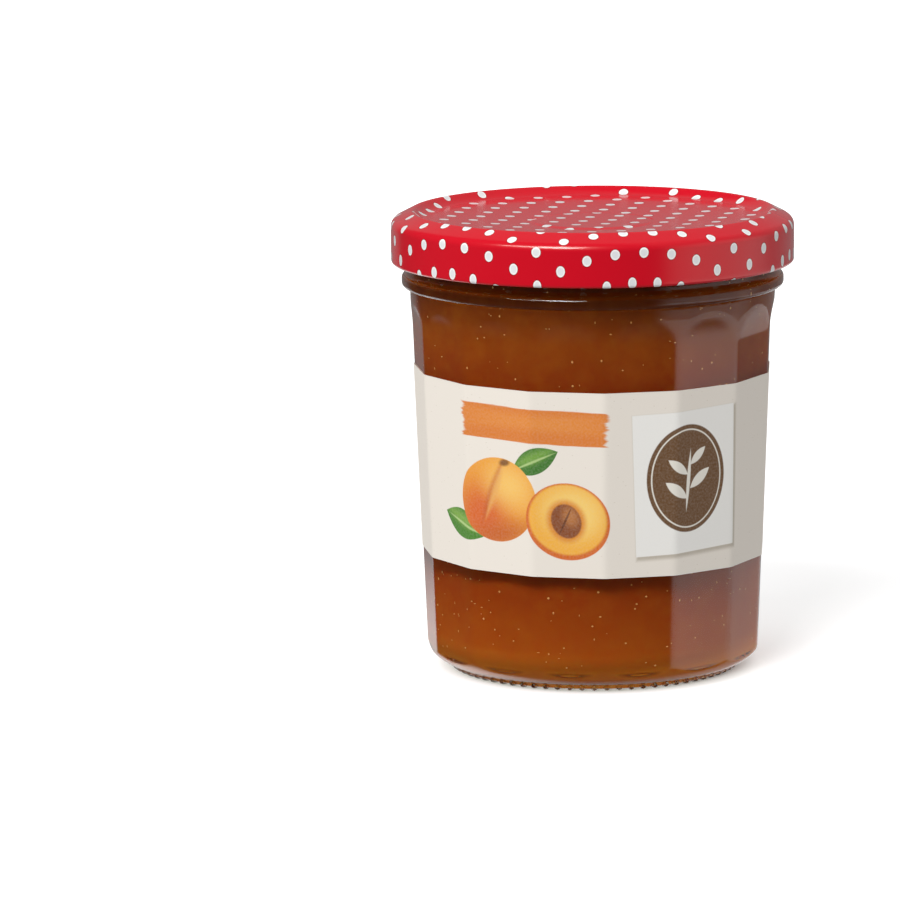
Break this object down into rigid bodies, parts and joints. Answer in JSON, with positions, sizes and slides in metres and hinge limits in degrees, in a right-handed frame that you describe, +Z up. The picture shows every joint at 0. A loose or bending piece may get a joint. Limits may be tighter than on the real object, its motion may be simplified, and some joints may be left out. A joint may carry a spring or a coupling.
{
  "type": "jam jar",
  "caption": "Shut faceted glass jar of apricot jam with a red dotted twist-off lid and a cream paper label wrapped round it.",
  "frame": {"origin": "centre of the base, in the plane of the ring that the jar stands on", "axes": "+Z up along the jar's axis; -Y is the front of the label, +X is to the right seen from the front"},
  "size_m": [0.0853, 0.0853, 0.0979],
  "materials": {
    "glass": "clear polished glass",
    "jam": "translucent amber fruit jam, wet",
    "lid": "gloss red lacquer with white dots",
    "label": "uncoated cream paper with fine flecks"
  },
  "bodies": {
    "root": {"glass_jar": "glass", "jam": "jam", "lid": "lid", "label": "label"}
  },
  "joints": []
}
